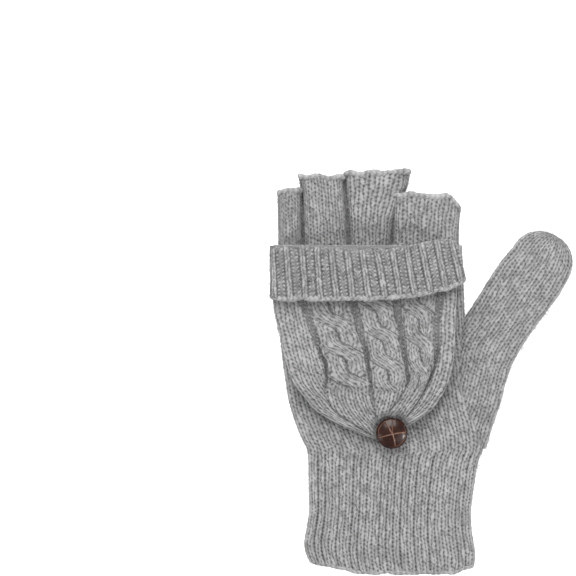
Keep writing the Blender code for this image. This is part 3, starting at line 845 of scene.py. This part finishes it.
def cable_surface(x, y):
    """Rise of the cover's front in metres, the height and tone of its stitches, and the painted shade that
    darkens its gutters, the edges of its panels and strands, and the creases between strands.
    """
    lines = [column_at(COVER_STATIONS, 1, y)]
    lines += [column_at(GUTTERS, k, y) for k in (1, 2, 3, 4)]
    lines.append(column_at(COVER_STATIONS, 2, y))
    cabled = smoothstep(CABLE_END_Y - 7 * MM, CABLE_END_Y + 6 * MM, y)
    gutter = GUTTER_HALF * (0.25 + 0.75 * smoothstep(5 * MM, 50 * MM, y))
    v = (y - WRIST_Y) / COURSE
    height, tone = purl(x / WALE * 1.7, v * 1.1, SEEDS["gutters"])
    shape = np.full_like(x, -GUTTER_DEPTH) * cabled
    # painted shade: the gutters between the panels are darkened
    painted_shade = 1 - 0.3 * cabled
    for k in range(5):
        left = lines[k] + (gutter if k > 0 else 0.0)
        right = lines[k + 1] - (gutter if k < 4 else 0.0)
        middle = (left + right) / 2
        half = np.maximum((right - left) / 2, 0.5 * MM)
        dome = np.sqrt(np.maximum(1 - ((x - middle) / half) ** 2, 0.0))
        columns = {0: x - lines[0], 4: lines[5] - x}.get(k, x - middle) / WALE + 40 * k
        plain, plain_tone = stockinette(columns, v, SEEDS["panels"])
        inside = dome > 0
        height = np.where(inside, plain, height)
        tone = np.where(inside, plain_tone, tone)
        rise = PANEL_RISE * (1 - 0.8 * cabled * (k in (1, 2, 3)))
        shape = np.where(inside, rise * np.minimum(1.6 * dome, 1.0), shape)
        # painted shade: each panel darkens towards its edges
        painted_shade = np.where(inside, 0.6 + 0.4 * smoothstep(0.0, 0.5, dome), painted_shade)
    for number, phase in enumerate(CABLE_PHASES):
        surface = shape, height, tone, painted_shade
        shape, height, tone, painted_shade = add_cable(x, y, v, lines, number, phase, gutter, cabled, surface)
    return softened(shape, 2), height, tone, painted_shade


def add_cable(x, y, v, lines, number, phase, gutter, cabled, surface):
    """Lays the two strands of a cable over the surface, the one that runs down to the right on top, with
    painted shade at the strands' edges and in the crease between them.
    """
    shape, height, tone, painted_shade = surface
    edges = lines[number + 1] + gutter, lines[number + 2] - gutter
    rises = []
    for sign in (1.0, -1.0):
        centre, over, half = strand_centre(edges, y, phase, sign)
        slant = (strand_centre(edges, y + 0.5 * MM, phase, sign)[0]
                 - strand_centre(edges, y - 0.5 * MM, phase, sign)[0]) / MM
        reach = half * 0.53 * np.minimum(np.sqrt(1 + slant ** 2), 1.5)
        off = (x - centre) / reach
        dome = np.sqrt(np.maximum(1 - off * off, 0.0))
        rise = CABLE_RISE * cabled * (0.7 * dome ** 0.8 + 0.4 * over)
        rises.append(np.where(dome > 0, rise, 0.0))
        on_top = (dome > 0) & (rise > shape) & (x > edges[0]) & (x < edges[1])
        loose = 0.22 * uneven(x, y, 2.5 * MM, SEEDS["loose_strands"] + number)
        columns = off * 1.5 + loose + 60 * number + 11 * sign
        knit, knit_tone = stockinette(columns, v * 0.9 + loose, SEEDS["strands"])
        shape = np.where(on_top, rise, shape)
        height = np.where(on_top, 0.05 + 0.9 * knit, height)
        tone = np.where(on_top, knit_tone, tone)
        # painted shade: each strand darkens towards its edges
        painted_shade = np.where(on_top, 1 - cabled * (1 - smoothstep(0.0, 0.9, dome)) * 0.75, painted_shade)
    # the crease between the strands dips, and is given painted shade as well
    crease = np.exp(-((rises[0] - rises[1]) / CREASE_WIDTH) ** 2) * (np.minimum(*rises) > 0)
    return shape - CREASE_DEPTH * crease * cabled, height, tone, painted_shade * (1 - 0.6 * crease * cabled)


def tuck_under_button(points, below):
    """Presses the cover's tip down where the button holds it."""
    away = np.hypot(points[..., 0] - BUTTON_CENTRE[0], points[..., 1] - BUTTON_CENTRE[1])
    ceiling = BUTTON[0][2] - BUTTON_CLEARANCE + 7 * MM * smoothstep(7.2 * MM, 14 * MM, away) - below
    points[..., 2] = np.minimum(points[..., 2], ceiling)


def make_cover(cable_material, plain_material):
    row_x, row_y = straight_rows(COVER_STATIONS, -18.4 * MM, MOUTH_Y, cover_slant)
    low = COVER_BACK[0][2]
    heights = cover_height(row_y[:, EDGE_SAMPLES // 2]) - COVER_RELIEF
    rings = Rings(row_x, row_y, heights, low, COVER_WIDEST)
    facing = np.clip(rings.normals[..., 2], 0.0, 1.0)
    reach_for_join(rings.points, facing > 0.02)
    x, y = rings.points[..., 0], rings.points[..., 1]
    shape, height, tone, painted_shade = cable_surface(x, y)
    plain, plain_tone = stockinette(x / WALE, (y - WRIST_Y) / COURSE, SEEDS["cover_back"])
    front = rings.upper & (facing > 0.02)
    height = np.where(front, height, plain)
    painted_shade = np.where(front, painted_shade, 1.0)
    # the painted shade darkens the front's tone here, and its stitch height where the pieces are built
    tone = np.where(front, tone, plain_tone) * painted_shade
    rise = shape * smoothstep(0.1, 0.8, facing) + (height - 0.5) * STITCH_RELIEF
    outer = rings.points + rings.normals * rise[..., None]
    outer[..., 2] += PUCKER * uneven(x, y, 11 * MM, SEEDS["cover_pucker"]) * facing
    outer[..., 2] = np.maximum(outer[..., 2], low)
    inner = (rings.points - rings.normals * FABRIC)[every_few(len(row_x))]
    tuck_under_button(outer, 0.0)
    tuck_under_button(inner, 0.7 * MM)
    top, under = rings.top_count, rings.under_count
    panels = (("cover_cables", slice(0, top + 1), cable_material, "cable_wool", "cover_cable_panel"),
              ("cover_back_knit", slice(top, top + under), plain_material, "grey_wool", "cover_back_panel"))
    for name, span, material, slot, node in panels:
        piece = fabric_shell(name, outer[:, span], inner[:, span], rings.normals[:, span],
                             (height * painted_shade)[:, span], tone[:, span], SEEDS["cover_fibres"], closed=False)
        dress(piece, material, "cover", slot, node)


# --- band

BAND_RIBS = 13
BAND_THICK = 1.5 * MM
FOLD = ((-59.4, 71.2), (-59.0, 72.9), (-57.9, 74.1), (-56.0, 74.8), (-43.0, 75.0), (-26.0, 74.4),
        (-14.0, 73.4), (-4.0, 73.5), (6.0, 75.0), (16.0, 77.0), (28.0, 78.6), (32.6, 77.4))
FREE_EDGE = ((-60.2, 51.6), (-57.0, 51.0), (-43.0, 50.8), (-22.0, 50.8), (-7.0, 51.0), (2.8, 51.6),
             (12.6, 52.8), (22.5, 54.8), (32.2, 57.9), (37.0, 60.6))
LINING = 0.35 * MM  # from the middle of the band's fabric to its hidden side
LINING_RELIEF = 0.45 * MM
BAND_COLUMNS = 225
FLAP_ROWS = 54
FOLD_ROWS = 12
TAIL_ROWS = 3
TAIL_STEP = 0.8 * MM
FOLD_RADIUS = 0.75 * BAND_THICK
FOLD_TOP = (TAIL_ROWS + 0.5) * TAIL_STEP + 0.5 * math.pi * FOLD_RADIUS  # how far along the band it is
FLAP_LIFT = 0.7 * MM  # of the free edge
CORNER_DROOP = 1.1 * MM  # of the band's two ends
DROOP_COLUMNS = 9
KNIT_SHARE = 0.19  # half of a rib's share of knit, the rest being purl


def band_rows():
    """Base rows of the band: a short tail inside the mouth, round the fold, and the flap outside."""
    pivot = BAND_TURN[2]
    fold = smooth_path(FOLD, BAND_COLUMNS)
    free = smooth_path(FREE_EDGE, BAND_COLUMNS)
    down = (free - fold) / np.linalg.norm(free - fold, axis=1)[:, None]
    column = np.ones((BAND_COLUMNS, 1))
    rows, normals = [], []
    for step in range(TAIL_ROWS, 0, -1):
        rows.append(np.hstack([fold + down * step * TAIL_STEP, column * (pivot - FOLD_RADIUS)]))
        normals.append(np.hstack([0 * down, -column]))
    for angle in np.radians(np.linspace(-90.0, 90.0, FOLD_ROWS))[:-1]:
        out = np.hstack([-down * math.cos(angle), column * math.sin(angle)])
        rows.append(np.hstack([fold, column * pivot]) + out * FOLD_RADIUS)
        normals.append(out)
    for share in np.linspace(0.0, 1.0, FLAP_ROWS):
        rows.append(np.hstack([fold + (free - fold) * share, column * (pivot + FOLD_RADIUS)]))
        normals.append(np.hstack([0 * down, column]))
    return np.array(rows), np.array(normals), down


def band_surface(across, along):
    """Wide purl columns between narrow raised knit columns, one of each to a rib."""
    across = across + 0.06 * uneven(across, along / (16 * MM), 1.0, SEEDS["rib_sway"])
    part = across - np.floor(across)
    from_knit = np.abs(part - 0.5)
    raised = 1 - smoothstep(KNIT_SHARE * 0.8, KNIT_SHARE * 1.8, from_knit)
    knit_u = np.floor(across) + np.clip((part - 0.5) / (2 * KNIT_SHARE) + 0.5, 0.001, 0.999)
    v = along / (COURSE * 0.92)
    knit, knit_tone = stockinette(knit_u, v, SEEDS["rib_knit"])
    bars, bar_tone = purl((across - 0.5) * 3, v * 1.06, SEEDS["rib_purl"])
    is_knit = from_knit < KNIT_SHARE * 1.2
    # a groove beside each knit column; its lower stitch height there also gives it painted shade
    beside = np.exp(-((from_knit - KNIT_SHARE * 1.25) / 0.035) ** 2)
    height = np.where(is_knit, 0.08 + 0.64 * knit, 1.24 * bars ** 1.35) * (1 - 0.65 * beside)
    from_fold = smoothstep(0.0, 4 * MM, np.abs(along - FOLD_TOP))
    height = height * (0.5 + 0.5 * from_fold) + 0.15 * (1 - from_fold)
    shape = (raised * 0.5 * MM - 0.35 * MM * beside) * from_fold - 0.2 * MM
    return shape, height, np.where(is_knit, knit_tone, bar_tone)


def make_band(material, edge_material):
    base, normals, down = band_rows()
    across = np.broadcast_to(np.linspace(0.2, BAND_RIBS - 0.1, BAND_COLUMNS)[None, :], base.shape[:2])
    along = running_length(base)
    shape, height, tone = band_surface(across, along)
    flap = along[-FLAP_ROWS]
    lift = smoothstep(0.0, 1.0, (along - flap) / (along[-1] - flap)) * FLAP_LIFT
    column = np.arange(BAND_COLUMNS)
    from_end = np.minimum(np.minimum(column, column[::-1]) / DROOP_COLUMNS, 1.0)
    droop = (1 - np.sqrt(1 - (1 - from_end) ** 2)) * CORNER_DROOP
    outer = base + normals * (BAND_THICK / 2 + shape + (height - 0.5) * STITCH_RELIEF)[..., None]
    outer[-FLAP_ROWS:, :, 2] -= droop
    back_height, back_tone = band_surface(across + 0.5, along)[1:]
    inner = base - normals * (LINING + back_height * LINING_RELIEF)[..., None]
    pucker = uneven(base[..., 0], base[..., 1], 8 * MM, SEEDS["band_pucker"])
    outer[..., 2] += lift + 0.25 * MM * pucker
    inner[..., 2] += lift
    lining = painted_shade_level(back_height), back_tone
    piece = fabric_shell("rib_band_knit", outer, inner, normals, height, tone, SEEDS["band_fibres"],
                         closed=False, lining=lining)
    dress(piece, material, None, "rib_wool", "cover_rib_band")
    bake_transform(piece)
    path = base[-1].copy()
    path[:, 2] += lift[-1] - 0.2 * MM
    upward = np.tile([0.0, 0.0, 1.0], (BAND_COLUMNS, 1))
    outward = np.hstack([down, np.zeros((BAND_COLUMNS, 1))])
    edge = roll("band_edge_knit", path, upward, outward, 1.15 * MM, SEEDS["band_edge"], 0.15 * MM,
                closed=False)
    dress(edge, edge_material, "band", "edge_wool", "band_bound_edge")


# --- button

SPOKES = 160
CIRCLES = 84
SEAM_TURN = math.radians(12.0)
SEAM_CENTRE = (0.04, -0.06)  # in button radii
SEAM_WIDTH = 0.028
DOME_BASE = 2.0 * MM  # above the button's underside
RIDGE_HEIGHT = 0.3 * MM


def button_ridges(x, y, share):
    """Height from 0 to 1 of the thin raised seams: a cross whose upper arm parts in two, and a rim."""
    along = (x - SEAM_CENTRE[0]) * math.cos(SEAM_TURN) + (y - SEAM_CENTRE[1]) * math.sin(SEAM_TURN)
    up = (y - SEAM_CENTRE[1]) * math.cos(SEAM_TURN) - (x - SEAM_CENTRE[0]) * math.sin(SEAM_TURN)
    level = np.exp(-((up + 0.05 * along ** 2) / SEAM_WIDTH) ** 2)
    spread = 0.3 * np.maximum(up, 0.0)
    lower = np.exp(-((along - 0.02) / SEAM_WIDTH) ** 2)
    left = np.exp(-((along + spread) / SEAM_WIDTH) ** 2)
    right = np.exp(-((along - spread * 0.55) / SEAM_WIDTH) ** 2) * 0.7
    upright = np.where(up < 0.02, lower, np.maximum(left, right))
    inside = smoothstep(0.9, 0.8, share)
    angle = np.arctan2(y, x)
    rim = np.exp(-((share - 0.87) / 0.022) ** 2) * (0.45 + 0.35 * np.cos(2 * angle + 0.9))
    return np.maximum(np.maximum(level, upright) * inside, rim)


def make_button(material):
    """Domed button with thin seams over it and a rounded side."""
    low, high = BUTTON[0][2], BUTTON[1][2]
    radius = (BUTTON[1][0] - BUTTON[0][0]) / 2
    share = np.linspace(0.01, 1.0, CIRCLES)[:, None]
    angle = np.linspace(0.0, 2 * math.pi, SPOKES, endpoint=False)[None, :]
    x, y = share * np.cos(angle), share * np.sin(angle)
    ridges = button_ridges(x, y, share * np.ones_like(angle))
    dome = np.sqrt(1 - (share * 0.9) ** 2)
    dome = (dome - dome[-1]) / (1 - dome[-1])
    edge_z = low + DOME_BASE
    z = edge_z + (high - edge_z - RIDGE_HEIGHT) * dome * np.ones_like(angle) + ridges * RIDGE_HEIGHT
    top = np.stack([x * radius, y * radius, z], axis=-1)
    fall = np.radians(np.linspace(0.0, 90.0, 12))[1:, None]
    side_radius = radius * (0.86 + 0.14 * np.cos(fall))
    side_z = edge_z + (low - edge_z) * np.sin(fall) * np.ones_like(angle)
    side = np.stack([side_radius * np.cos(angle), side_radius * np.sin(angle), side_z], axis=-1)
    grid = np.concatenate([top, side])
    grid[..., :2] += BUTTON_CENTRE
    poles = np.array([[*BUTTON_CENTRE, top[0, :, 2].mean()], [*BUTTON_CENTRE, low]])
    wear = np.concatenate([ridges, np.zeros((len(side), SPOKES))])
    piece = open_tube("button_dome", grid, poles, wear, wear, at_ends=0.0)
    dress(piece, material, "button", "button_leather", "button_head")


# --- loop and seam

ROPE_SIDES = 20
ROPE_STEP = 0.3 * MM
LOOP_TAIL = 3 * MM  # how far the loop's ends run on inside the cover
TURN_POINTS = 24
SEAM_POINTS = 200


def rope(name, path, radius, plies, pitch):
    """Yarn of several twisted plies along an open path."""
    path = np.asarray(path, float)
    arc = running_length(path)
    fine = np.linspace(0.0, arc[-1], int(arc[-1] / ROPE_STEP))
    path = np.stack([np.interp(fine, arc, column) for column in path.T], axis=1)
    ahead = np.gradient(path, axis=0)
    ahead /= np.linalg.norm(ahead, axis=1)[:, None]
    side = np.cross(ahead, (0.0, 0.0, 1.0))
    side /= np.maximum(np.linalg.norm(side, axis=1), 1e-9)[:, None]
    other = np.cross(side, ahead)
    angle = np.linspace(0.0, 2 * math.pi, ROPE_SIDES, endpoint=False)[None, :]
    bulge = np.abs(np.cos(plies / 2 * (angle - 2 * math.pi * fine[:, None] / pitch)))
    reach = radius * (0.74 + 0.26 * bulge)
    points = (path[:, None, :] + side[:, None, :] * (np.cos(angle) * reach)[..., None]
              + other[:, None, :] * (np.sin(angle) * reach)[..., None])
    # the plies' bulge is also the stitch value: painted shade in the grooves between the plies
    return open_tube(name, points, path[[0, -1]], bulge, np.full_like(bulge, 0.5))


def make_loop(material):
    """Twisted cord from the cover's tip round the shank and back."""
    radius = (LOOP[1][2] - LOOP[0][2]) / 2
    middle = (LOOP[0][0] + LOOP[1][0]) / 2
    reach = (LOOP[1][0] - LOOP[0][0]) / 2 - radius
    turn_y = LOOP[0][1] + radius + reach
    start = LOOP[1][1] + LOOP_TAIL
    angle = np.linspace(math.pi, 2 * math.pi, TURN_POINTS)
    bend = np.stack([middle + reach * np.cos(angle), turn_y + reach * np.sin(angle)], axis=1)
    route = [(middle - reach, start), *bend, (middle + reach, start)]
    z = (LOOP[0][2] + LOOP[1][2]) / 2
    piece = rope("loop_cord", [(x, y, z) for x, y in route], radius, 2, 4 * MM)
    dress(piece, material, "cover", "grey_yarn", "button_loop")


def make_seam(material):
    """Picked-up stitches along the knuckles: a roll that turns from the hand into the cover."""
    y = SEAM[0][1] - 0.3 * MM
    z = (SEAM[0][2] + SEAM[1][2]) / 2
    path = np.linspace((SEAM[0][0], y, z), (SEAM[1][0], y, z), SEAM_POINTS)
    upward = np.tile([0.0, 0.0, 1.0], (SEAM_POINTS, 1))
    outward = np.tile([0.0, 1.0, 0.0], (SEAM_POINTS, 1))
    radius = (SEAM[1][2] - SEAM[0][2]) / 2
    piece = roll("join_seam_knit", path, upward, outward, radius, SEEDS["join_seam"], closed=False)
    dress(piece, material, None, "grey_wool", "cover_join_seam")
    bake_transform(piece)


# --- scene

FRAME_WIDTH = 0.288
VIEW_CENTRE = (-0.051, 0.056)
FLOOR_REACH = 3.0
FLOOR_Z = -0.4 * MM
FLOOR_SHADER = {"Base Color": (0.93, 0.93, 0.93, 1.0), "Roughness": 0.9,
                "Emission Color": (1.0, 1.0, 1.0, 1.0), "Emission Strength": 0.7}
WORLD_STRENGTH = 0.42
# name: place, side in metres, power in watts
LAMPS = {
    "key": ((-0.15, 1.0, 0.9), 1.1, 24.0),
    "fill": ((0.9, -0.5, 1.0), 1.0, 4.0),
    "glint_left": ((-0.6, -0.25, 0.35), 0.12, 2.0),
    "glint_right": ((0.6, -0.2, 0.35), 0.12, 2.0),
}


def make_stage():
    mesh = bpy.data.meshes.new("floor")
    corners = [(x * FLOOR_REACH, y * FLOOR_REACH, FLOOR_Z) for x, y in ((-1, -1), (1, -1), (1, 1), (-1, 1))]
    mesh.from_pydata(corners, [], [(0, 1, 2, 3)])
    mesh.materials.append(Look("floor_white", FLOOR_SHADER).material)
    add_object("floor", mesh)


def make_light():
    """White world and four square lamps that point at the origin."""
    world = bpy.data.worlds.new("studio")
    world.use_nodes = True
    background = world.node_tree.nodes["Background"]
    background.inputs["Color"].default_value = (1.0, 1.0, 1.0, 1.0)
    background.inputs["Strength"].default_value = WORLD_STRENGTH
    bpy.context.scene.world = world
    for name, (place, size, power) in LAMPS.items():
        light = bpy.data.lights.new(name, "AREA")
        light.shape = "SQUARE"
        light.size = size
        light.energy = power
        lamp = add_object(name, light)
        lamp.location = place
        lamp.rotation_euler = (-Vector(place)).to_track_quat("-Z", "Y").to_euler()


def make_camera():
    """Straight down, with the mitten in the lower right of the frame."""
    camera = bpy.data.cameras.new("camera")
    camera.lens = 200.0
    camera.sensor_width = 36.0
    camera.clip_end = 20.0
    holder = add_object("camera", camera)
    holder.location = (*VIEW_CENTRE, FRAME_WIDTH * camera.lens / camera.sensor_width)
    bpy.context.scene.camera = holder
    bpy.context.scene.view_settings.view_transform = "Standard"


def dress_cad_nodes(yarn_material, leather_material):
    """Gives the small hidden solids, which stay as they are, their materials."""
    for name, material in (("button_thread", yarn_material), ("thread_knot", yarn_material),
                           ("button_shank", leather_material)):
        mesh = frame["nodes"][name].data
        mesh.materials.clear()
        mesh.materials.append(material)


def main():
    # copies of one wool that differ only in brightness; the paler edge copy is painted light on the rounded
    # rolled edges
    grey = wool("grey_wool_knit", 0.94)
    rib = wool("rib_wool_knit", 1.04)
    cable = wool("cable_wool_knit", 0.98)
    edge = wool("edge_wool_knit", 1.05)
    yarn = wool("loop_yarn", 0.95)
    brown = leather("button_leather_gloss")
    make_cuff(rib, rib)
    make_hand(grey)
    make_thumb(grey)
    for seed, name in enumerate(FINGERS):
        make_finger(name, grey, edge, SEEDS["stubs"] + seed)
    make_cover(cable, grey)
    make_band(rib, edge)
    make_button(brown)
    make_loop(yarn)
    make_seam(grey)
    dress_cad_nodes(yarn, brown)
    make_stage()
    make_light()
    make_camera()


main()
